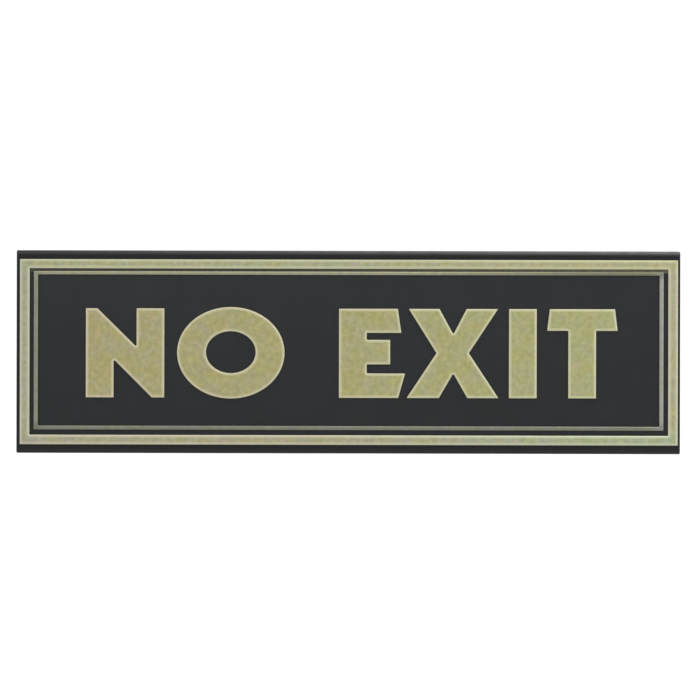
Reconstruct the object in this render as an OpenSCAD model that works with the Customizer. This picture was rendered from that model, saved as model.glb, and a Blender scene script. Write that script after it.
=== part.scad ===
// Self-stick wall sign: a moulded black plaque with a raised double border and
// raised block letters, their tops covered in gold foil, on a foam adhesive
// backing. Millimetres. The sign hangs in the XZ plane, seen from -Y. The
// origin is the middle of the wall plane, which is the back of the foam.

/* [Plaque] */
// Width of the plaque
plate_w = 229.2; // [228.6:0.2:240]
// Height of the plaque
plate_h = 70.2; // [69:0.1:76]
// Thickness of the plaque, from its back to its flat face
plate_t = 2; // [1.6:0.1:3]
// Width of the sloping bevel along the top and bottom edges of the face
bevel_w = 1.4; // [0.6:0.1:2.2]
// Depth of that bevel, back from the face
bevel_d = 0.9; // [0.4:0.1:1.3]
// Radius that rounds the front edges of the two ends
end_r = 0.4; // [0.2:0.1:0.6]
// Radius of the four corners as seen from the front
corner_r = 0.25; // [0.2:0.05:1.5]

/* [Relief] */
// Height of the black part of each raised shape above the flat face
land_h = 0.3; // [0.1:0.05:0.6]
// Height of the gold top
foil_h = 0.3; // [0.1:0.02:0.36]
// How far the gold top's rounded shoulder reaches in from its outline
shoulder_w = 0.6; // [0.3:0.05:0.8]
// Flat steps that make up each rounded shoulder
shoulder_steps = 4; // [2:1:6]

/* [Outer border] */
// Width of the thick gold border
border_w = 3.45; // [2.5:0.05:4]
// Width of the rectangle around the thick border
border_x = 227.2; // [224:0.1:227.4]
// Height of the rectangle around the thick border
border_z = 64.1; // [62:0.1:66]
// Width of the thick border along the top
border_top_w = 3.3; // [2.5:0.05:4]
// Sideways offset of both borders from the middle of the plaque
border_shift_x = 0.18; // [0:0.02:0.2]
// Upward offset of both borders from the middle of the plaque
border_shift_z = -0.05; // [-0.2:0.05:0.2]

/* [Inner border] */
// Width of the thin gold line
line_w = 1.4; // [1:0.05:1.7]
// Width of the thin gold line along the top
line_top_w = 1.2; // [1:0.05:1.7]
// Black gap between the thick border and the thin line at the left end
gap_left = 1.45; // [0.8:0.05:2]
// Black gap between the thick border and the thin line at the right end
gap_right = 1.6; // [0.8:0.05:2]
// Black gap between the thick border and the thin line along the top
gap_top = 0.9; // [0.6:0.05:2]
// Black gap between the thick border and the thin line along the bottom
gap_bottom = 1.75; // [0.8:0.05:2]

/* [Letters] */
// Height of the flat-topped letters
cap_h = 31; // [29:0.1:33]
// Height of the foot of the letters, measured from the middle of the plaque
base_z = -15.9; // [-17:0.1:-15]
// Width of the upright strokes
stem_w = 9.8; // [8.8:0.1:10.4]
// Thickness of the arms of the E
arm_t = 8.7; // [7.6:0.1:9]
// Thickness of the bar of the T
bar_t = 7.7; // [6.5:0.1:9]
// Width across the round letter
round_w = 37.3; // [35:0.1:38]
// Height of the round letter, which reaches a little past the others
round_h = 31.8; // [30:0.1:33]
// Width of the opening in the round letter
eye_w = 16.9; // [14:0.1:19]
// Height of the opening in the round letter
eye_h = 14.2; // [12:0.1:16]
// Corners used around the round letter
round_steps = 72; // [48:4:96]

/* [Backing] */
// Thickness of the foam adhesive sheet
foam_t = 0.8; // [0.5:0.1:1.6]
// Distance the foam stops short of the edge of the plaque
foam_inset = 4; // [2:0.5:8]
// Corner radius of the foam sheet
foam_r = 3; // [1:0.5:6]

/* [Hidden] */
$fn = 64;

black = [0.16, 0.165, 0.175];
gold = [0.66, 0.64, 0.45];
gold_pale = [0.66, 0.65, 0.50];
gold_dull = [0.58, 0.58, 0.47];
white = [0.90, 0.90, 0.87];

// Depth of each level in front of the wall
face_y = foam_t + plate_t;
land_y = face_y + land_h;
// The raised shapes are rooted this far inside the plaque
root = 0.5;

// Edges of the two borders as [left, right, bottom, top]
b0 = [-border_x/2 + border_shift_x, border_x/2 + border_shift_x,
      -border_z/2 + border_shift_z, border_z/2 + border_shift_z];
b1 = [b0[0] + border_w, b0[1] - border_w, b0[2] + border_w, b0[3] - border_top_w];
l0 = [b1[0] + gap_left, b1[1] - gap_right, b1[2] + gap_bottom, b1[3] - gap_top];
l1 = [l0[0] + line_w, l0[1] - line_w, l0[2] + line_w, l0[3] - line_top_w];

// Corners of a rectangle, anticlockwise from the lower left
function rect(e) = [[e[0], e[2]], [e[1], e[2]], [e[1], e[3]], [e[0], e[3]]];

// Closed outline moved inwards by d with mitred corners, for outlines that run
// anticlockwise. A negative d moves it outwards.
function unit(v) = v / norm(v);
function left_of(v) = [-v[1], v[0]];
function inset(p, d) = let (n = len(p)) [for (i = [0:n - 1])
    let (u = left_of(unit(p[i] - p[(i + n - 1) % n])),
         v = left_of(unit(p[(i + 1) % n] - p[i])))
    p[i] + (u + v) * d / (1 + u * v)];

// Ellipse as a closed outline
function oval(cx, cz, a, b, n) =
    [for (i = [0:n - 1]) [cx + a * cos(360 * i / n), cz + b * sin(360 * i / n)]];

// Rounded shoulder, a quarter of an oval w wide and foil_h high: [inset, height]
// from the side wall up to the flat top
function shoulder(k, n, w) = [w * (1 - cos(90 * k / n)), foil_h * sin(90 * k / n)];

// Letter outlines, anticlockwise, in the sign's own X and Z
top_z = base_z + cap_h;

// N: two uprights and a diagonal that leaves each of them a small foot
n_x0 = -90.65;
n_x1 = -63.37;
n_foot = 4.45;
n_head = 4.07;
n_reach = n_x1 - n_x0 - n_foot - stem_w;
function pts_n() = [
    [n_x0, base_z], [n_x0 + stem_w, base_z],
    [n_x0 + stem_w, base_z + n_reach], [n_x1 - n_foot, base_z],
    [n_x1, base_z], [n_x1, top_z], [n_x1 - stem_w, top_z],
    [n_x1 - stem_w, top_z - (n_reach + n_foot - n_head) * 0.985],
    [n_x0 + n_head, top_z],
    [n_x0, top_z]];

tri_n = [[0, 1, 2], [0, 2, 9], [2, 8, 9], [2, 3, 7], [2, 7, 8],
         [3, 4, 7], [4, 5, 7], [5, 6, 7]];

// E: three arms of unlike length, the outer two cut at a slant
e_x0 = -3.35;
e_mid = base_z + 0.654 * cap_h;
function pts_e() = [
    [e_x0, base_z], [e_x0 + 20.65, base_z], [e_x0 + 23.1, base_z + arm_t],
    [e_x0 + stem_w, base_z + arm_t], [e_x0 + stem_w, e_mid - arm_t],
    [e_x0 + 17.9, e_mid - arm_t], [e_x0 + 17.9, e_mid], [e_x0 + stem_w, e_mid],
    [e_x0 + stem_w, top_z - arm_t + 0.15], [e_x0 + 21.75, top_z - arm_t + 0.15],
    [e_x0 + 20.5, top_z], [e_x0, top_z]];

tri_e = [[0, 1, 2], [0, 2, 3], [0, 3, 4], [0, 4, 7], [4, 5, 6], [4, 6, 7],
         [0, 7, 8], [0, 8, 11], [8, 9, 10], [8, 10, 11]];

// X: two crossing strokes, a little wider at the foot than at the top
x_c = 36.2;
x_w = stem_w + 1.2;
x_v = 0.27 * cap_h;
x_mid = base_z + 0.504 * cap_h;
function pts_x() = [
    [x_c - 16.3, base_z], [x_c - 15.9 + x_w, base_z], [x_c, base_z + x_v],
    [x_c + 15.8 - x_w, base_z], [x_c + 15.8, base_z],
    [x_c + 5.5, x_mid], [x_c + 15.65, top_z], [x_c + 15.5 - x_w, top_z],
    [x_c, top_z - x_v - 0.3], [x_c - 15.6 + x_w - 0.1, top_z],
    [x_c - 15.6, top_z], [x_c - 5.95, x_mid]];

tri_x = [[0, 1, 2], [0, 2, 11], [2, 3, 4], [2, 4, 5], [5, 6, 7], [5, 7, 8],
         [8, 9, 10], [8, 10, 11], [2, 5, 8], [2, 8, 11]];

// I: one upright
i_x0 = 55.28;
function pts_i() = rect([i_x0, i_x0 + stem_w, base_z, top_z]);
tri_i = [[0, 1, 2], [0, 2, 3]];

// T: an upright under a bar whose ends slope outwards
t_c = 80.65;
function pts_t() = [
    [t_c - stem_w/2, base_z], [t_c + stem_w/2, base_z],
    [t_c + stem_w/2, top_z - bar_t], [t_c + 12.35, top_z - bar_t],
    [t_c + 11.4, top_z], [t_c - 11.3, top_z],
    [t_c - 12.2, top_z - bar_t], [t_c - stem_w/2, top_z - bar_t]];
tri_t = [[0, 1, 2], [0, 2, 7], [2, 3, 4], [2, 4, 5], [2, 5, 7], [5, 6, 7]];

// O: an oval ring
o_x = -40.55;
o_z = base_z + cap_h/2 + 0.1;
function pts_o() = oval(o_x, o_z, round_w/2, round_h/2, round_steps);
function pts_o_eye() = oval(o_x, o_z + 0.2, eye_w/2, eye_h/2, round_steps);

// Turns a flat drawing in X and Z to stand upright, y0 in front of the wall
module upright(y0) {
    translate([0, -y0, 0]) rotate([90, 0, 0]) children();
}

// Gold top of a solid outline: rounded shoulder w wide, flat top. t splits the
// outline into triangles, each as three corner numbers.
module cap(p, t, w = shoulder_w) {
    n = len(p);
    m = shoulder_steps;
    rings = [for (k = [0:m]) let (s = shoulder(k, m, w))
        for (q = inset(p, s[0])) [q[0], q[1], s[1]]];
    polyhedron(rings, concat(
        [for (f = t) [f[0], f[1], f[2]]],
        [for (k = [0:m - 1]) for (i = [0:n - 1])
            let (a = k * n + i, b = k * n + (i + 1) % n)
            each [[a, a + n, b], [b, a + n, b + n]]],
        [for (f = t) [m * n + f[2], m * n + f[1], m * n + f[0]]]));
}

// Gold top of a ring between two outlines with the same number of corners
module ring_cap(po, pi, w = shoulder_w) {
    n = len(po);
    m = shoulder_steps;
    c = 2 * (m + 1);
    outer = [for (k = [0:m]) let (s = shoulder(k, m, w))
        [for (q = inset(po, s[0])) [q[0], q[1], s[1]]]];
    inner = [for (k = [m:-1:0]) let (s = shoulder(k, m, w))
        [for (q = inset(pi, -s[0])) [q[0], q[1], s[1]]]];
    loops = concat(outer, inner);
    polyhedron([for (l = loops) for (q = l) q],
        [for (k = [0:c - 1]) for (i = [0:n - 1])
            let (a = k * n + i, b = k * n + (i + 1) % n,
                 d = ((k + 1) % c) * n + i, e = ((k + 1) % c) * n + (i + 1) % n)
            each [[a, d, b], [b, d, e]]]);
}

// Section across the ends: flat back at 0, rounded corners at the face
module end_section(w) {
    union() {
        translate([-w/2, 0]) square([w, plate_t - end_r]);
        translate([-w/2 + end_r, 0]) square([w - 2 * end_r, plate_t]);
        for (s = [-1, 1])
            translate([s * (w/2 - end_r), plate_t - end_r]) circle(r = end_r);
    }
}

// Section across the long edges: flat back at 0, bevelled corners at the face
module long_section(h) {
    polygon([[-h/2, 0], [h/2, 0], [h/2, plate_t - bevel_d], [h/2 - bevel_w, plate_t],
             [-h/2 + bevel_w, plate_t], [-h/2, plate_t - bevel_d]]);
}

// Rectangle with round corners
module round_rect(w, h, r) {
    union() {
        square([w - 2 * r, h], center = true);
        square([w, h - 2 * r], center = true);
        for (sx = [-1, 1]) for (sz = [-1, 1])
            translate([sx * (w/2 - r), sz * (h/2 - r)]) circle(r = r);
    }
}

// Flat blank: long edges bevelled, ends and corners rounded
module blank() {
    intersection() {
        mirror([0, 1, 0]) linear_extrude(height = plate_h, center = true)
            end_section(plate_w);
        mirror([0, 1, 0]) rotate([0, -90, 0])
            linear_extrude(height = plate_w, center = true) long_section(plate_h);
        translate([0, 1, 0]) rotate([90, 0, 0])
            linear_extrude(height = plate_t + 2) round_rect(plate_w, plate_h, corner_r);
    }
}

// Black foot of a raised shape, rooted in the plaque
module land() {
    upright(face_y - root) linear_extrude(height = root + land_h) children();
}

module plaque() color(black) union() {
    translate([0, -foam_t, 0]) blank();
    land() difference() { polygon(rect(b0)); polygon(rect(b1)); }
    land() difference() { polygon(rect(l0)); polygon(rect(l1)); }
    land() polygon(pts_n());
    land() difference() { polygon(pts_o()); polygon(pts_o_eye()); }
    land() polygon(pts_e());
    land() polygon(pts_x());
    land() polygon(pts_i());
    land() polygon(pts_t());
}

module outer_border() color(gold_pale) upright(land_y) ring_cap(rect(b0), rect(b1));

module inner_border() color(gold_dull) upright(land_y)
    ring_cap(rect(l0), rect(l1), min(shoulder_w, 0.38 * min(line_w, line_top_w)));

module letter_n() color(gold) upright(land_y) cap(pts_n(), tri_n);

module letter_o() color(gold) upright(land_y) ring_cap(pts_o(), pts_o_eye());

module letter_e() color(gold) upright(land_y) cap(pts_e(), tri_e);

module letter_x() color(gold) upright(land_y) cap(pts_x(), tri_x);

module letter_i() color(gold) upright(land_y) cap(pts_i(), tri_i);

module letter_t() color(gold) upright(land_y) cap(pts_t(), tri_t);

module adhesive_foam() color(white) rotate([90, 0, 0])
    linear_extrude(height = foam_t)
        round_rect(plate_w - 2 * foam_inset, plate_h - 2 * foam_inset, foam_r);

plaque();
outer_border();
inner_border();
letter_n();
letter_o();
letter_e();
letter_x();
letter_i();
letter_t();
adhesive_foam();
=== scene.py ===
import math

import bmesh
import bpy
import numpy as np
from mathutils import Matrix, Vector
from mathutils.geometry import delaunay_2d_cdt


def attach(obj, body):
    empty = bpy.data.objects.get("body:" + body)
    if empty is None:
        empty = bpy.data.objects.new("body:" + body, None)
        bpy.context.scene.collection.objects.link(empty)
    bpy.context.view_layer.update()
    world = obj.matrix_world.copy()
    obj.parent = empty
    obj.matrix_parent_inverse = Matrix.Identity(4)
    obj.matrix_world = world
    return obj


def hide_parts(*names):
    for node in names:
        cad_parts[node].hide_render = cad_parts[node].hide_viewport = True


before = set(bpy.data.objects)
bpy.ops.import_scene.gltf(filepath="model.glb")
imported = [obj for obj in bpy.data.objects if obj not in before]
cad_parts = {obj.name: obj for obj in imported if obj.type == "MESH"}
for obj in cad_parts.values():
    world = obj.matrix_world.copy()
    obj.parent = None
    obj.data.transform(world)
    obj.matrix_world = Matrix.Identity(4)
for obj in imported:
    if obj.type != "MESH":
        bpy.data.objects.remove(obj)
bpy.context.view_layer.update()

MM = 0.001

# ---------------------------------------------------------------- dimensions
# The same values as the part's source, in millimetres.
PLATE_W, PLATE_H, PLATE_T = 229.2, 70.2, 2.0
BEVEL_W, BEVEL_D, END_R, CORNER_R = 1.4, 0.9, 0.4, 0.25
FOAM_T, FOAM_INSET, FOAM_R = 0.8, 4.0, 3.0
LAND_H, FOIL_H = 0.3, 0.3
BORDER_W, BORDER_TOP_W, BORDER_X, BORDER_Z = 3.45, 3.3, 227.2, 64.1
SHIFT_X, SHIFT_Z = 0.18, -0.05
LINE_W, LINE_TOP_W = 1.4, 1.2
SHOULDER_W, LINE_SHOULDER_W = 0.6, 0.38 * LINE_TOP_W
GAP_L, GAP_R, GAP_T, GAP_B = 1.45, 1.6, 0.9, 1.75
CAP_H, BASE_Z, STEM, ARM, BAR = 31.0, -15.9, 9.8, 8.7, 7.7
TOP_Z = BASE_Z + CAP_H

FACE_D = FOAM_T + PLATE_T          # depth of the flat face in front of the wall
LAND_D = FACE_D + LAND_H           # depth of the black top under the gold
GOLD_D = LAND_D + FOIL_H           # depth of the gold's flat top

PLAN_R = 0.22                      # cutter radius at each outline corner
FOOT_R = 0.09                      # moulded fillet where a wall meets the face
RIM_W = 0.55                       # how far the painted highlight on the rim fades in from the shoulder
BARE = (1.0, 1.0, 1.0, 0.6, 0.1, 0.0, 0.0, 0.0)    # bare plastic, row by row up the shoulder
BARE_LOW = (1.0, 0.5, 0.2, 0.0, 0.0, 0.0, 0.0, 0.0)    # where the foil comes further down


# ---------------------------------------------------------------- outlines
def rect(e):
    return [(e[0], e[2]), (e[1], e[2]), (e[1], e[3]), (e[0], e[3])]


b0 = (-BORDER_X / 2 + SHIFT_X, BORDER_X / 2 + SHIFT_X,
      -BORDER_Z / 2 + SHIFT_Z, BORDER_Z / 2 + SHIFT_Z)
b1 = (b0[0] + BORDER_W, b0[1] - BORDER_W, b0[2] + BORDER_W, b0[3] - BORDER_TOP_W)
l0 = (b1[0] + GAP_L, b1[1] - GAP_R, b1[2] + GAP_B, b1[3] - GAP_T)
l1 = (l0[0] + LINE_W, l0[1] - LINE_W, l0[2] + LINE_W, l0[3] - LINE_TOP_W)


def outline_n():
    x0, x1, foot, head = -90.65, -63.37, 4.45, 4.07
    reach = x1 - x0 - foot - STEM
    return [(x0, BASE_Z), (x0 + STEM, BASE_Z), (x0 + STEM, BASE_Z + reach),
            (x1 - foot, BASE_Z), (x1, BASE_Z), (x1, TOP_Z), (x1 - STEM, TOP_Z),
            (x1 - STEM, TOP_Z - (reach + foot - head) * 0.985), (x0 + head, TOP_Z), (x0, TOP_Z)]


def outline_e():
    x0 = -3.35
    mid = BASE_Z + 0.654 * CAP_H
    return [(x0, BASE_Z), (x0 + 20.65, BASE_Z), (x0 + 23.1, BASE_Z + ARM),
            (x0 + STEM, BASE_Z + ARM), (x0 + STEM, mid - ARM),
            (x0 + 17.9, mid - ARM), (x0 + 17.9, mid), (x0 + STEM, mid),
            (x0 + STEM, TOP_Z - ARM + 0.15), (x0 + 21.75, TOP_Z - ARM + 0.15),
            (x0 + 20.5, TOP_Z), (x0, TOP_Z)]


def outline_x():
    c, w, v = 36.2, STEM + 1.2, 0.27 * CAP_H
    mid = BASE_Z + 0.504 * CAP_H
    return [(c - 16.3, BASE_Z), (c - 15.9 + w, BASE_Z), (c, BASE_Z + v),
            (c + 15.8 - w, BASE_Z), (c + 15.8, BASE_Z), (c + 5.5, mid),
            (c + 15.65, TOP_Z), (c + 15.5 - w, TOP_Z), (c, TOP_Z - v - 0.3),
            (c - 15.6 + w - 0.1, TOP_Z), (c - 15.6, TOP_Z), (c - 5.95, mid)]


def outline_i():
    return rect((55.28, 55.28 + STEM, BASE_Z, TOP_Z))


def outline_t():
    c, h = 80.65, STEM / 2
    return [(c - h, BASE_Z), (c + h, BASE_Z), (c + h, TOP_Z - BAR),
            (c + 12.35, TOP_Z - BAR), (c + 11.4, TOP_Z), (c - 11.3, TOP_Z),
            (c - 12.2, TOP_Z - BAR), (c - h, TOP_Z - BAR)]


O_X, O_Z = -40.55, BASE_Z + CAP_H / 2 + 0.1


def oval(cz, a, b, n=144):
    return [(O_X + a * math.cos(2 * math.pi * i / n), cz + b * math.sin(2 * math.pi * i / n))
            for i in range(n)]


def unit(v):
    return v / np.linalg.norm(v)


def inset(points, d):
    """Anticlockwise outline moved inwards by d with mitred corners."""
    p = np.array(points, float)
    a, b = np.roll(p, 1, 0), np.roll(p, -1, 0)
    u = (p - a) / np.linalg.norm(p - a, axis=1)[:, None]
    v = (b - p) / np.linalg.norm(b - p, axis=1)[:, None]
    nu = np.stack([-u[:, 1], u[:, 0]], 1)
    nv = np.stack([-v[:, 1], v[:, 0]], 1)
    k = 1 + (nu * nv).sum(1)
    return p + (nu + nv) * (d / k)[:, None]


def rounded(points, convex, concave, n=4):
    """Each corner of an anticlockwise outline replaced by an arc of n steps."""
    p = np.array(points, float)
    out = []
    for i in range(len(p)):
        a, b, c = p[i - 1], p[i], p[(i + 1) % len(p)]
        u, v = unit(b - a), unit(c - b)
        turn = math.atan2(u[0] * v[1] - u[1] * v[0], float(u @ v))
        r = convex if turn > 0 else concave
        t = r * math.tan(abs(turn) / 2)
        side = 1.0 if turn > 0 else -1.0
        start = b - u * t
        centre = start + side * r * np.array([-u[1], u[0]])
        for k in range(n + 1):
            q = turn * k / n
            w = start - centre
            out.append(centre + np.array([w[0] * math.cos(q) - w[1] * math.sin(q),
                                          w[0] * math.sin(q) + w[1] * math.cos(q)]))
    return np.array(out)


def straight(points):
    """Outline rings for a straight-sided letter or frame: moved inwards by d."""
    def ring(d):
        return rounded(inset(points, d), max(PLAN_R - d, 0.03), max(PLAN_R + d, 0.03))
    return ring


def hole(points):
    """The same for the inner edge of a ring, where inwards means away from the hole."""
    def ring(d):
        return rounded(inset(points, -d), max(PLAN_R + d, 0.03), max(PLAN_R - d, 0.03))
    return ring


def curved(a, b, cz, sign):
    def ring(d):
        return inset(oval(cz, a, b), sign * d)
    return ring


RAISED = {
    "outer_border": [straight(rect(b0)), hole(rect(b1))],
    "inner_border": [straight(rect(l0)), hole(rect(l1))],
    "letter_n": [straight(outline_n())],
    "letter_o": [curved(37.3 / 2, 31.8 / 2, O_Z, 1), curved(16.9 / 2, 14.2 / 2, O_Z + 0.2, -1)],
    "letter_e": [straight(outline_e())],
    "letter_x": [straight(outline_x())],
    "letter_i": [straight(outline_i())],
    "letter_t": [straight(outline_t())],
}


# ---------------------------------------------------------------- mesh helpers
def add_loop(bm, pts, depth):
    """A closed loop of vertices at a depth in front of the wall, in mm."""
    return [bm.verts.new((x * MM, -depth * MM, z * MM)) for x, z in pts]


def bridge(bm, a, b):
    """Quads between two loops with the same number of vertices."""
    n = len(a)
    for i in range(n):
        j = (i + 1) % n
        bm.faces.new((a[i], a[j], b[j], b[i]))


def inside(px, pz, loops):
    """Even-odd test of points against all loops together."""
    hit = np.zeros(len(px), bool)
    for loop in loops:
        q = np.roll(loop, -1, 0)
        for (x0, z0), (x1, z1) in zip(loop, q):
            if z0 == z1:
                continue
            cross = (z0 > pz) != (z1 > pz)
            hit ^= cross & (px < x0 + (pz - z0) * (x1 - x0) / (z1 - z0))
    return hit


def fill(bm, loops):
    """Flat face between an outer loop and any holes in it, in triangles."""
    verts = [v for l in loops for v in l]
    plan = [np.array([(v.co.x / MM, v.co.z / MM) for v in l]) for l in loops]
    flat = np.concatenate(plan)
    edges, n = [], 0
    for l in loops:
        edges += [(n + i, n + (i + 1) % len(l)) for i in range(len(l))]
        n += len(l)
    out = delaunay_2d_cdt([Vector(p) for p in flat], edges, [], 0, 1e-6, True)
    ids = [o[0] if o else None for o in out[3]]
    assert None not in ids and len(ids) == len(verts)
    tris = np.array([[ids[i] for i in f] for f in out[2]])
    mid = flat[tris].mean(1)
    for f in tris[inside(mid[:, 0], mid[:, 1], plan)]:
        bm.faces.new([verts[i] for i in f])


def finish_mesh(bm, name, material, replaced, angle=32.0):
    bmesh.ops.recalc_face_normals(bm, faces=bm.faces)
    open_edges = [e for e in bm.edges if len(e.link_faces) != 2]
    assert not open_edges, f"{name}: {len(open_edges)} open edges"
    mesh = bpy.data.meshes.new(name)
    bm.to_mesh(mesh)
    bm.free()
    mesh.shade_smooth()
    mesh.set_sharp_from_angle(angle=math.radians(angle))
    obj = bpy.data.objects.new(name, mesh)
    bpy.context.scene.collection.objects.link(obj)
    mod = obj.modifiers.new("flat_faces_stay_flat", "WEIGHTED_NORMAL")
    mod.keep_sharp = True
    mod.weight = 100
    mesh.materials.append(material)
    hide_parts(*replaced)
    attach(obj, "root")
    return obj


# ---------------------------------------------------------------- materials
def new_material(name):
    mat = bpy.data.materials.new(name)
    mat.use_nodes = True
    nt = mat.node_tree
    nt.nodes.clear()
    out = nt.nodes.new("ShaderNodeOutputMaterial")
    bsdf = nt.nodes.new("ShaderNodeBsdfPrincipled")
    nt.links.new(bsdf.outputs["BSDF"], out.inputs["Surface"])
    coord = nt.nodes.new("ShaderNodeTexCoord")
    return mat, nt, bsdf, coord.outputs["Object"]


def noise(nt, vec, scale, detail=4.0, rough=0.55, seed=0.0):
    n = nt.nodes.new("ShaderNodeTexNoise")
    n.noise_dimensions = "4D"
    n.inputs["W"].default_value = seed
    n.inputs["Scale"].default_value = scale
    n.inputs["Detail"].default_value = detail
    n.inputs["Roughness"].default_value = rough
    nt.links.new(vec, n.inputs["Vector"])
    return n.outputs["Fac"]


def ramp(nt, fac, stops):
    r = nt.nodes.new("ShaderNodeValToRGB")
    r.color_ramp.interpolation = "EASE"
    while len(r.color_ramp.elements) < len(stops):
        r.color_ramp.elements.new(0.5)
    for e, (pos, col) in zip(r.color_ramp.elements, stops):
        e.position = pos
        e.color = (*col, 1.0)
    nt.links.new(fac, r.inputs["Fac"])
    return r.outputs["Color"]


def span(nt, fac, lo, hi, a=0.3, b=0.7):
    m = nt.nodes.new("ShaderNodeMapRange")
    m.clamp = True
    m.inputs["From Min"].default_value = a
    m.inputs["From Max"].default_value = b
    m.inputs["To Min"].default_value = lo
    m.inputs["To Max"].default_value = hi
    nt.links.new(fac, m.inputs["Value"])
    return m.outputs["Result"]


def math_node(nt, operation, a, b=None, value=0.0):
    m = nt.nodes.new("ShaderNodeMath")
    m.operation = operation
    nt.links.new(a, m.inputs[0])
    if b is None:
        m.inputs[1].default_value = value
    else:
        nt.links.new(b, m.inputs[1])
    return m.outputs["Value"]


def mix(nt, fac, a, b=None, colour=None):
    """Blend from colour a to socket b, or to a fixed colour."""
    m = nt.nodes.new("ShaderNodeMix")
    m.data_type = "RGBA"
    nt.links.new(fac, m.inputs[0])
    nt.links.new(a, m.inputs[6])
    if b is None:
        m.inputs[7].default_value = (*colour, 1.0)
    else:
        nt.links.new(b, m.inputs[7])
    return m.outputs[2]


def tint(nt, vec, a, colour, where):
    """Colour a multiplied by a fixed colour where each (axis, start, end) of the
    list, in mm on the sign, has gone from 0 at its start to 1 at its end."""
    parts = nt.nodes.new("ShaderNodeSeparateXYZ")
    nt.links.new(vec, parts.inputs["Vector"])
    fac = None
    for axis, start, end in where:
        f = span(nt, parts.outputs[axis], float(start > end), float(start <= end),
                 min(start, end) * MM, max(start, end) * MM)
        fac = f if fac is None else math_node(nt, "MULTIPLY", fac, f)
    m = nt.nodes.new("ShaderNodeMix")
    m.data_type = "RGBA"
    m.blend_type = "MULTIPLY"
    nt.links.new(fac, m.inputs[0])
    nt.links.new(a, m.inputs[6])
    m.inputs[7].default_value = (*colour, 1.0)
    return m.outputs[2]


def bump(nt, height, distance, strength=1.0, under=None):
    b = nt.nodes.new("ShaderNodeBump")
    b.inputs["Distance"].default_value = distance
    b.inputs["Strength"].default_value = strength
    nt.links.new(height, b.inputs["Height"])
    if under is not None:
        nt.links.new(under, b.inputs["Normal"])
    return b.outputs["Normal"]


def flash_in_groove(nt, vec):
    """How much thin, crumbly foil is left in the narrow top groove between the
    border and the line: more of it to the right, none on the other sides."""
    parts = nt.nodes.new("ShaderNodeSeparateXYZ")
    nt.links.new(vec, parts.inputs["Vector"])
    fac = span(nt, parts.outputs["X"], 0.40, 1.0, -20 * MM, 95 * MM)
    for axis, lo, hi in (("Z", l0[3], b1[3]), ("X", b1[0], b1[1])):
        for start, end in ((lo - 0.4, lo - 0.2), (hi + 0.4, hi + 0.2)):
            fac = math_node(nt, "MULTIPLY", fac,
                            span(nt, parts.outputs[axis], float(start > end),
                                 float(start <= end), min(start, end) * MM,
                                 max(start, end) * MM))
    return fac


def black_plastic():
    mat, nt, bsdf, vec = new_material("black_plastic")
    soft = noise(nt, vec, 70.0, 3.0, 0.5, 1.3)
    col = ramp(nt, soft, [(0.30, (0.0110, 0.0124, 0.0140)),
                          (0.50, (0.0122, 0.0138, 0.0160)),
                          (0.72, (0.0142, 0.0156, 0.0176))])
    # Painted shade: the black is made darker towards the bottom of the sign.
    col = tint(nt, vec, col, (0.72, 0.72, 0.70), [("Z", 20, -30)])
    # Painted light: the black is made lighter towards the upper left.
    col = tint(nt, vec, col, (1.22, 1.24, 1.18), [("Z", 5, 28), ("X", 60, -70)])
    # Painted shade: a deeper black on the edges and the plain band outside the border.
    margin_shade = nt.nodes.new("ShaderNodeAttribute")
    margin_shade.attribute_name = "margin_shade"
    col = mix(nt, margin_shade.outputs["Fac"], col, None, (0.0018, 0.0020, 0.0024))
    crumbs = math_node(nt, "MULTIPLY", flash_in_groove(nt, vec),
                       span(nt, noise(nt, vec, 900.0, 3.0, 0.6, 3.3), 0.6, 1.0))
    col = mix(nt, crumbs, col, None, (0.178, 0.168, 0.100))
    # Painted highlight: a paler grey along the top edge, stronger to the right.
    top_edge_highlight = nt.nodes.new("ShaderNodeAttribute")
    top_edge_highlight.attribute_name = "top_edge_highlight"
    highlight_amount = math_node(nt, "MULTIPLY", top_edge_highlight.outputs["Fac"],
                     span(nt, noise(nt, vec, 330.0, 5.0, 0.65, 7.7), 0.55, 1.0))
    nt.links.new(mix(nt, highlight_amount, col, None, (0.165, 0.172, 0.166)), bsdf.inputs["Base Color"])
    rough = span(nt, noise(nt, vec, 260.0, 4.0, 0.6, 5.1), 0.36, 0.46)
    nt.links.new(math_node(nt, "ADD", rough, math_node(nt, "MULTIPLY", highlight_amount, None, 0.12)),
                 bsdf.inputs["Roughness"])
    bsdf.inputs["IOR"].default_value = 1.5
    bsdf.inputs["Specular IOR Level"].default_value = 0.5
    grain = bump(nt, noise(nt, vec, 5200.0, 2.0, 0.5, 9.4), 0.000012, 0.5)
    nt.links.new(bump(nt, noise(nt, vec, 420.0, 3.0, 0.5, 2.2), 0.00002, 0.35, grain),
                 bsdf.inputs["Normal"])
    return mat


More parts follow.
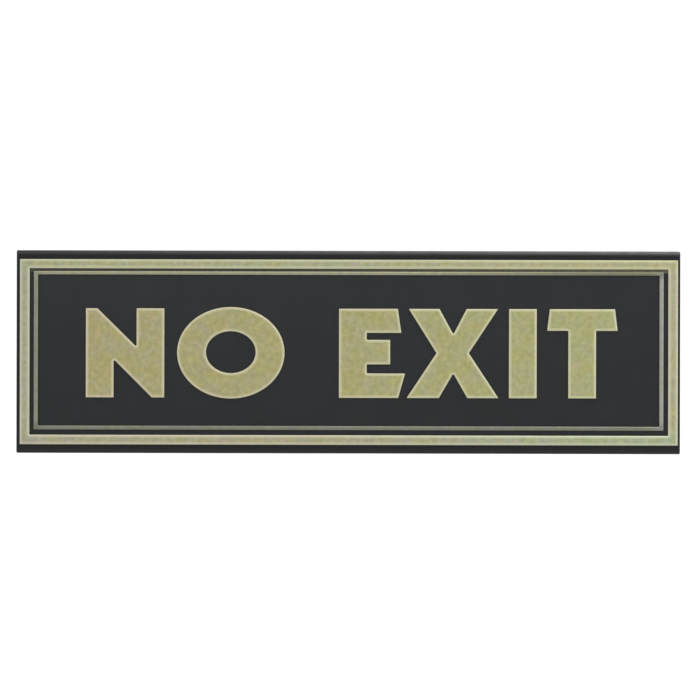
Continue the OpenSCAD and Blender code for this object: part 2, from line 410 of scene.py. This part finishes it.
def gold_foil(name, low, mid, high, edge, seed, tint_and_side_shade):
    """Satin foil: patchy tone, fine grain, a painted highlight on the rim (the edge colour), bare black plastic
    below the foil's edge, and slow changes of tone over the sign, given as (colour, where) pairs; on the border
    and line these pairs also paint light and shade, one side lighter or darker than another."""
    mat, nt, bsdf, vec = new_material(name)
    patches = noise(nt, vec, 210.0, 5.0, 0.62, seed)
    tone = ramp(nt, patches, [(0.30, low), (0.50, mid), (0.72, high)])
    warm = mix(nt, span(nt, noise(nt, vec, 340.0, 1.5, 0.5, seed + 20.0), 0.06, 0.70),
               tone, None, (mid[0] * 1.14, mid[1] * 0.97, mid[2] * 1.12))
    green = mix(nt, span(nt, noise(nt, vec, 270.0, 1.5, 0.5, seed + 50.0), 0.05, 0.62),
                warm, None, (mid[0] * 0.92, mid[1] * 1.04, mid[2] * 0.93))
    speck = mix(nt, span(nt, noise(nt, vec, 1300.0, 3.0, 0.6, seed + 30.0), 0.0, 0.35),
                green, None, (mid[0] * 0.84, mid[1] * 0.87, mid[2] * 0.76))
    cloudy = nt.nodes.new("ShaderNodeVectorMath")
    cloudy.operation = "SCALE"
    nt.links.new(speck, cloudy.inputs[0])
    nt.links.new(span(nt, noise(nt, vec, 560.0, 1.0, 0.5, seed + 60.0), 0.88, 1.07),
                 cloudy.inputs["Scale"])
    cool = nt.nodes.new("ShaderNodeMix")
    cool.data_type = "RGBA"
    cool.blend_type = "MULTIPLY"
    nt.links.new(span(nt, noise(nt, vec, 210.0, 1.0, 0.5, seed + 70.0), 0.06, 0.86, 0.35, 0.65), cool.inputs[0])
    nt.links.new(cloudy.outputs["Vector"], cool.inputs[6])
    cool.inputs[7].default_value = (0.98, 1.0, 1.35, 1.0)
    rim = nt.nodes.new("ShaderNodeAttribute")
    rim.attribute_name = "rim"
    # Painted highlight: the rim's paler colour, patchy, on the shoulder.
    rim_highlight = math_node(nt, "MULTIPLY", rim.outputs["Fac"],
                     span(nt, noise(nt, vec, 650.0, 4.0, 0.6, seed + 40.0), 0.65, 1.0))
    col = mix(nt, rim_highlight, cool.outputs[2], None, edge)
    # On the border and line some of these tints are painted light and shade.
    for colour, where in tint_and_side_shade:
        col = tint(nt, vec, col, colour, where)
    bare = nt.nodes.new("ShaderNodeAttribute")
    bare.attribute_name = "bare"
    nt.links.new(mix(nt, bare.outputs["Fac"], col, None, (0.0122, 0.0138, 0.0160)),
                 bsdf.inputs["Base Color"])
    nt.links.new(span(nt, bare.outputs["Fac"], 0.8, 0.0, 0.0, 1.0), bsdf.inputs["Metallic"])
    rough = span(nt, noise(nt, vec, 900.0, 4.0, 0.6, seed + 4.0), 0.38, 0.48)
    nt.links.new(math_node(nt, "ADD", rough, math_node(nt, "MULTIPLY", rim_highlight, None, 0.06)),
                 bsdf.inputs["Roughness"])
    grain = bump(nt, noise(nt, vec, 6500.0, 2.0, 0.5, seed + 7.0), 0.000010, 0.45)
    nt.links.new(bump(nt, noise(nt, vec, 700.0, 3.0, 0.55, seed + 2.0), 0.000020, 0.4, grain),
                 bsdf.inputs["Normal"])
    return mat


def foam_white():
    mat, nt, bsdf, vec = new_material("foam_white")
    cells = nt.nodes.new("ShaderNodeTexVoronoi")
    cells.inputs["Scale"].default_value = 1500.0
    nt.links.new(vec, cells.inputs["Vector"])
    cloud = ramp(nt, noise(nt, vec, 45.0, 2.0, 0.5, 3.7),
                 [(0.3, (0.745, 0.735, 0.685)), (0.5, (0.77, 0.765, 0.72)), (0.7, (0.79, 0.785, 0.745))])
    # Painted shade: the foam is darker in the dents of its cells.
    pit_shade = mix(nt, span(nt, cells.outputs["Distance"], 0.45, 0.0, 0.05, 0.45), cloud, None,
               (0.60, 0.59, 0.54))
    nt.links.new(pit_shade, bsdf.inputs["Base Color"])
    nt.links.new(span(nt, noise(nt, vec, 500.0, 3.0, 0.6, 6.6), 0.45, 0.7),
                 bsdf.inputs["Roughness"])
    skin = bump(nt, noise(nt, vec, 900.0, 3.0, 0.6, 8.8), 0.00006, 0.5)
    nt.links.new(bump(nt, cells.outputs["Distance"], 0.00010, 0.7, skin), bsdf.inputs["Normal"])
    return mat


BLACK = black_plastic()
# The fifth colour of each foil is the painted highlight on its rim.
GOLD = gold_foil("gold_foil", (0.53, 0.478, 0.187), (0.62, 0.562, 0.255), (0.695, 0.619, 0.311),
                 (0.80, 0.735, 0.51), 11.0,
                 [((1.0, 1.09, 1.03), [("X", -90, 90)])])
# Painted light and shade: the border is lighter at the top right and darker on the left; its other tints shift
# the hue.
GOLD_PALE = gold_foil("gold_foil_border", (0.545, 0.52, 0.273), (0.63, 0.608, 0.338),
                      (0.695, 0.66, 0.385), (0.76, 0.74, 0.54), 17.0,
                      [((0.98, 0.945, 0.98), [("Z", -26.5, -29)]),
                       ((0.95, 1.10, 1.04), [("Z", -26.5, -29), ("X", -10, 85)]),
                       ((0.97, 1.0, 0.93), [("Z", 27, 29.5)]),
                       ((1.05, 1.02, 0.98), [("Z", 27, 29.5), ("X", 10, 60)]),
                       ((0.94, 0.955, 1.0), [("X", -107, -110)])])
# Painted shade: the thin line's foil is the border's foil made darker, and its tints paint the top left
# lighter, the top right, bottom and left sides darker, and the right side lighter.
GOLD_LINE_SHADED = gold_foil("gold_foil_line", (0.34, 0.336, 0.197), (0.395, 0.39, 0.241),
                      (0.44, 0.43, 0.272), (0.52, 0.51, 0.39), 23.0,
                      [((1.12, 1.13, 1.06), [("Z", 24.5, 26.5)]),
                       ((0.62, 0.62, 0.60), [("Z", 24.5, 26.5), ("X", 20, 88)]),
                       ((0.72, 0.745, 0.80), [("Z", -23.5, -25.5)]),
                       ((0.85, 0.865, 0.90), [("X", -105, -107)]),
                       ((1.12, 1.13, 1.30), [("X", 105, 107)])])
FOAM = foam_white()


# ---------------------------------------------------------------- the plaque
def box_loop(hx, hz, r, n=6):
    return rounded([(-hx, -hz), (hx, -hz), (hx, hz), (-hx, hz)], r, r, n)


def long_edge_profile():
    """Inset of the top and bottom edges against depth below the face, bevel rounded."""
    line = [(0.0, 1.6), (0.0, BEVEL_D), (BEVEL_W, 0.0), (3.0, 0.0)]
    radii = {1: 1.1, 2: 2.2}
    pts = [line[0]]
    for i in (1, 2):
        a, b, c = (np.array(line[j], float) for j in (i - 1, i, i + 1))
        u, v = unit(b - a), unit(c - b)
        turn = math.acos(float(np.clip(u @ v, -1, 1)))
        t = radii[i] * math.tan(turn / 2)
        start, end = b - u * t, b + v * t
        for k in range(7):
            s = k / 6
            pts.append(tuple((1 - s) ** 2 * start + 2 * s * (1 - s) * b + s ** 2 * end))
    return pts


def build_plaque():
    """Plaque with its raised lands. The attribute "margin_shade" marks painted shade: a deeper black on the
    edges and on the plain band outside the border. The attribute "top_edge_highlight" marks a painted
    highlight: a paler grey on the top edge, which is wider and stronger towards the right end."""
    bm = bmesh.new()
    bm.verts.layers.float.new("margin_shade")
    bm.verts.layers.float.new("top_edge_highlight")
    hx, hz = PLATE_W / 2, PLATE_H / 2
    back_r = 0.15
    loops = []
    for k in range(4):
        q = math.radians(90 * k / 3)
        i = back_r * (1 - math.sin(q))
        loops.append(add_loop(bm, box_loop(hx - i, hz - i, CORNER_R - i * 0.5),
                              FOAM_T + back_r * (1 - math.cos(q))))
    prof = long_edge_profile()
    pd = np.array([p[1] for p in prof])[::-1]
    pi = np.array([p[0] for p in prof])[::-1]
    face_iz = min(p[0] for p in prof if p[1] < 1e-6)
    levels = sorted({round(float(d), 5) for d in pd if 0 < d <= 1.05}
                    | {round(END_R * (1 - math.sin(math.radians(a))), 5) for a in range(0, 90, 10)}
                    | {0.55, 0.7}, reverse=True)
    for d in levels:
        iz = float(np.interp(d, pd, pi))
        ix = 0.0 if d >= END_R else END_R - math.sqrt(END_R ** 2 - (END_R - d) ** 2)
        loops.append(add_loop(bm, box_loop(hx - ix, hz - iz, max(CORNER_R - 0.25 * iz, 0.12)),
                              FACE_D - d))
    loops.append(add_loop(bm, box_loop(hx - END_R, hz - face_iz, 0.12), FACE_D))
    for a, b in zip(loops, loops[1:]):
        bridge(bm, a, b)
    fill(bm, [loops[0]])
    front = loops[-1]
    margin_shade, top_edge_highlight = bm.verts.layers.float["margin_shade"], bm.verts.layers.float["top_edge_highlight"]
    for v in bm.verts:
        x, z, d = v.co.x / MM, v.co.z / MM, FACE_D + v.co.y / MM
        # Painted shade: every vertex of the plate's edges starts with the deeper black.
        v[margin_shade] = 1.0
        # Painted highlight on the top edge, wider and stronger towards the right end.
        if z > 0 and d < 1.15:
            along = min(max((x + 95.0) / 205.0, 0.0), 1.0)
            reach = 0.55 + 0.75 * along
            across = min(max((z - hz + reach) / (0.7 * reach), 0.0), 1.0)
            v[top_edge_highlight] = across * (0.18 + 0.80 * along ** 1.5)

    feet = {}
    for name, rings in RAISED.items():
        tops = []
        feet[name] = []
        for ring in rings:
            rows = []
            for k in range(4):
                q = math.radians(90 * k / 3)
                rows.append(add_loop(bm, ring(-FOOT_R * (1 - math.sin(q))),
                                     FACE_D + FOOT_R * (1 - math.cos(q))))
                # The painted shade reaches the foot of the border's outer side.
                for v in rows[-1]:
                    v[margin_shade] = float(name == "outer_border" and ring is rings[0])
            rows.append(add_loop(bm, ring(0.0), LAND_D))
            for a, b in zip(rows, rows[1:]):
                bridge(bm, a, b)
            feet[name].append(rows[0])
            tops.append(rows[-1])
        fill(bm, tops)
    fill(bm, [front, feet["outer_border"][0]])
    fill(bm, [feet["outer_border"][1], feet["inner_border"][0]])
    fill(bm, [feet["inner_border"][1]] + [feet[n][0] for n in RAISED if n.startswith("letter")])
    fill(bm, [feet["letter_o"][1]])
    return finish_mesh(bm, "plaque_body", BLACK, ["plaque"])


def build_gold(name, rings):
    """Gold top with a rounded shoulder. The attribute "rim" is 1 on the shoulder,
    where a paler colour is painted on as a highlight, and fades to 0 just inside it. The foil
    ends a little way up the shoulder, and "bare" is 1 below its edge. The thin
    line is too narrow for either to show in full."""
    bm = bmesh.new()
    rim = bm.verts.layers.float.new("rim")
    bare = bm.verts.layers.float.new("bare")
    steps = 7
    width = LINE_SHOULDER_W if name == "inner_border" else SHOULDER_W
    tops, feet = [], []
    for ring in rings:
        rows = []
        for k in range(steps + 1):
            q = math.radians(90 * k / steps)
            rows.append(add_loop(bm, ring(width * (1 - math.cos(q))),
                                 LAND_D + FOIL_H * math.sin(q)))
        low = name == "outer_border" and ring is rings[1]
        for row, uncovered in zip(rows, BARE_LOW if low else BARE):
            for v in row:
                v[rim] = 0.3 if name == "inner_border" else 1.0
                v[bare] = 0.0 if name == "inner_border" else uncovered
        if name != "inner_border":
            rows.append(add_loop(bm, ring(width + RIM_W * 0.45), GOLD_D))
            for v in rows[-1]:
                v[rim] = 0.75
            rows.append(add_loop(bm, ring(width + RIM_W), GOLD_D))
        for a, b in zip(rows, rows[1:]):
            bridge(bm, a, b)
        feet.append(rows[0])
        tops.append(rows[-1])
    fill(bm, tops)
    fill(bm, feet)
    mat = GOLD if name.startswith("letter") else GOLD_PALE
    if name == "inner_border":
        mat = GOLD_LINE_SHADED
    return finish_mesh(bm, name + "_gold", mat, [name], angle=50.0)


def build_foam():
    bm = bmesh.new()
    hx, hz = PLATE_W / 2 - FOAM_INSET, PLATE_H / 2 - FOAM_INSET
    rng = np.random.default_rng(4)

    def dense(pts, step=1.2):
        out = []
        for i in range(len(pts)):
            a, b = pts[i], pts[(i + 1) % len(pts)]
            n = max(1, int(np.linalg.norm(b - a) / step))
            out += [a + (b - a) * k / n for k in range(n)]
        return np.array(out)

    base = dense(box_loop(hx, hz, FOAM_R, 12))
    n = len(base)
    centre = np.roll(base, -1, 0) - np.roll(base, 1, 0)
    normal = np.stack([centre[:, 1], -centre[:, 0]], 1)
    normal /= np.linalg.norm(normal, axis=1)[:, None]
    rows = []
    steps = [(0.0, 0.06), (0.05, 0.0), (0.25, 0.05), (0.45, 0.07), (0.62, 0.05), (0.75, 0.0), (0.8, 0.05)]
    wander = sum(np.sin(np.arange(n) * 2 * np.pi * f / n + p) * a
                 for f, p, a in ((37, 0.4, 0.010), (91, 2.1, 0.008), (163, 4.0, 0.006)))
    for depth, dent in steps:
        jitter = rng.normal(0, 0.006, n) if 0.1 < depth < 0.7 else 0.0
        cut = 0.03 + dent + wander + jitter
        rows.append(add_loop(bm, base - normal * np.clip(cut, 0.0, 0.2)[:, None], depth))
    for a, b in zip(rows, rows[1:]):
        bridge(bm, a, b)
    fill(bm, [rows[0]])
    fill(bm, [rows[-1]])
    obj = finish_mesh(bm, "adhesive_foam_sheet", FOAM, ["adhesive_foam"])
    return obj


build_plaque()
for _name, _rings in RAISED.items():
    build_gold(_name, _rings)
build_foam()


# ---------------------------------------------------------------- the studio
def stage_material(name, near, far, glow):
    """Pale paper, a little greyer in front, whose backdrop part is lit up."""
    mat, nt, bsdf, vec = new_material(name)
    bsdf.inputs["Roughness"].default_value = 0.9
    bsdf.inputs["Emission Color"].default_value = (1.0, 1.0, 1.0, 1.0)
    parts = nt.nodes.new("ShaderNodeSeparateXYZ")
    nt.links.new(vec, parts.inputs["Vector"])
    nt.links.new(ramp(nt, span(nt, parts.outputs["Y"], 0.0, 1.0, -0.2, 0.9),
                      [(0.0, (near,) * 3), (1.0, (far,) * 3)]), bsdf.inputs["Base Color"])
    nt.links.new(span(nt, parts.outputs["Y"], 0.0, glow, 0.6, 1.7),
                 bsdf.inputs["Emission Strength"])
    return mat


def build_sweep():
    """Pale floor that curves up into a backdrop well behind the sign."""
    bm = bmesh.new()
    z0, y1, r, top, half = -0.75, 1.9, 0.6, 2.6, 4.0
    line = [(-4.0, z0), (-2.0, z0), (0.0, z0), (y1 - r, z0)]
    line += [(y1 - r + r * math.sin(math.radians(a)), z0 + r - r * math.cos(math.radians(a)))
             for a in range(6, 91, 6)]
    line += [(y1, top)]
    cols = []
    for y, z in line:
        cols.append([bm.verts.new((x, y, z)) for x in (-half, -half / 2, 0.0, half / 2, half)])
    for a, b in zip(cols, cols[1:]):
        for i in range(4):
            bm.faces.new((a[i], a[i + 1], b[i + 1], b[i]))
    mesh = bpy.data.meshes.new("studio_sweep")
    bm.to_mesh(mesh)
    bm.free()
    mesh.shade_smooth()
    obj = bpy.data.objects.new("studio_sweep", mesh)
    bpy.context.scene.collection.objects.link(obj)
    mesh.materials.append(stage_material("studio_white", 0.60, 0.8, 0.32))
    return obj


build_sweep()


def area(name, loc, target, size, power, colour=(1, 1, 1)):
    light = bpy.data.lights.new(name, "AREA")
    light.shape = "RECTANGLE"
    light.size, light.size_y = size
    light.energy = power
    light.color = colour
    obj = bpy.data.objects.new(name, light)
    obj.location = loc
    d = Vector(target) - Vector(loc)
    obj.rotation_euler = d.to_track_quat("-Z", "Y").to_euler()
    bpy.context.scene.collection.objects.link(obj)
    return obj


area("key_above_right", (0.62, -0.40, 0.86), (0.10, 0.0, 0.03), (1.2, 0.8), 4.2)
area("side_right", (1.1, -0.45, 0.10), (0, 0, 0), (0.6, 1.0), 0.9)

# The room: dim in front of the sign, bright in a ring around that and above.
world = bpy.data.worlds.new("studio_world")
bpy.context.scene.world = world
world.use_nodes = True
wn = world.node_tree
wn.nodes.clear()
w_out = wn.nodes.new("ShaderNodeOutputWorld")
w_bg = wn.nodes.new("ShaderNodeBackground")
w_bg.inputs["Color"].default_value = (1.0, 1.0, 1.0, 1.0)
w_dir = wn.nodes.new("ShaderNodeTexCoord")
w_xyz = wn.nodes.new("ShaderNodeSeparateXYZ")
wn.links.new(w_dir.outputs["Generated"], w_xyz.inputs["Vector"])
w_ramp = ramp(wn, span(wn, w_xyz.outputs["Y"], 0.0, 1.0, -1.0, 1.0),
              [(0.0, (0.432,) * 3), (0.04, (0.472,) * 3), (0.17, (1.05,) * 3),
               (0.32, (1.3,) * 3), (0.50, (1.0,) * 3), (1.0, (0.9,) * 3)])
wn.links.new(w_ramp, w_bg.inputs["Color"])
w_bg.inputs["Strength"].default_value = 1.0
wn.links.new(w_bg.outputs["Background"], w_out.inputs["Surface"])

# ---------------------------------------------------------------- the camera
# The photograph is 700 pixels wide and shows 0.34517 mm of the sign's face in
# each. The sign's middle stands at pixel (348.33, 352.2) and is turned 0.13
# degrees clockwise.
PX = 0.34517 * MM
cam_data = bpy.data.cameras.new("camera")
cam_data.sensor_fit = "HORIZONTAL"
cam_data.sensor_width = 36.0
cam_data.lens = 100.0
face_y = -FACE_D * MM
dist = 700 * PX * cam_data.lens / cam_data.sensor_width
cam = bpy.data.objects.new("camera", cam_data)
cam.location = ((350.0 - 348.33) * PX, face_y - dist, (352.2 - 350.0) * PX)
cam.rotation_euler = (math.radians(90), math.radians(-0.13), 0.0)
cam_data.clip_start, cam_data.clip_end = 0.01, 20.0
bpy.context.scene.collection.objects.link(cam)
bpy.context.scene.camera = cam

bpy.context.scene.view_settings.view_transform = "Standard"
bpy.context.scene.view_settings.look = "None"
bpy.context.scene.view_settings.exposure = 0.0
bpy.context.scene.view_settings.gamma = 1.0
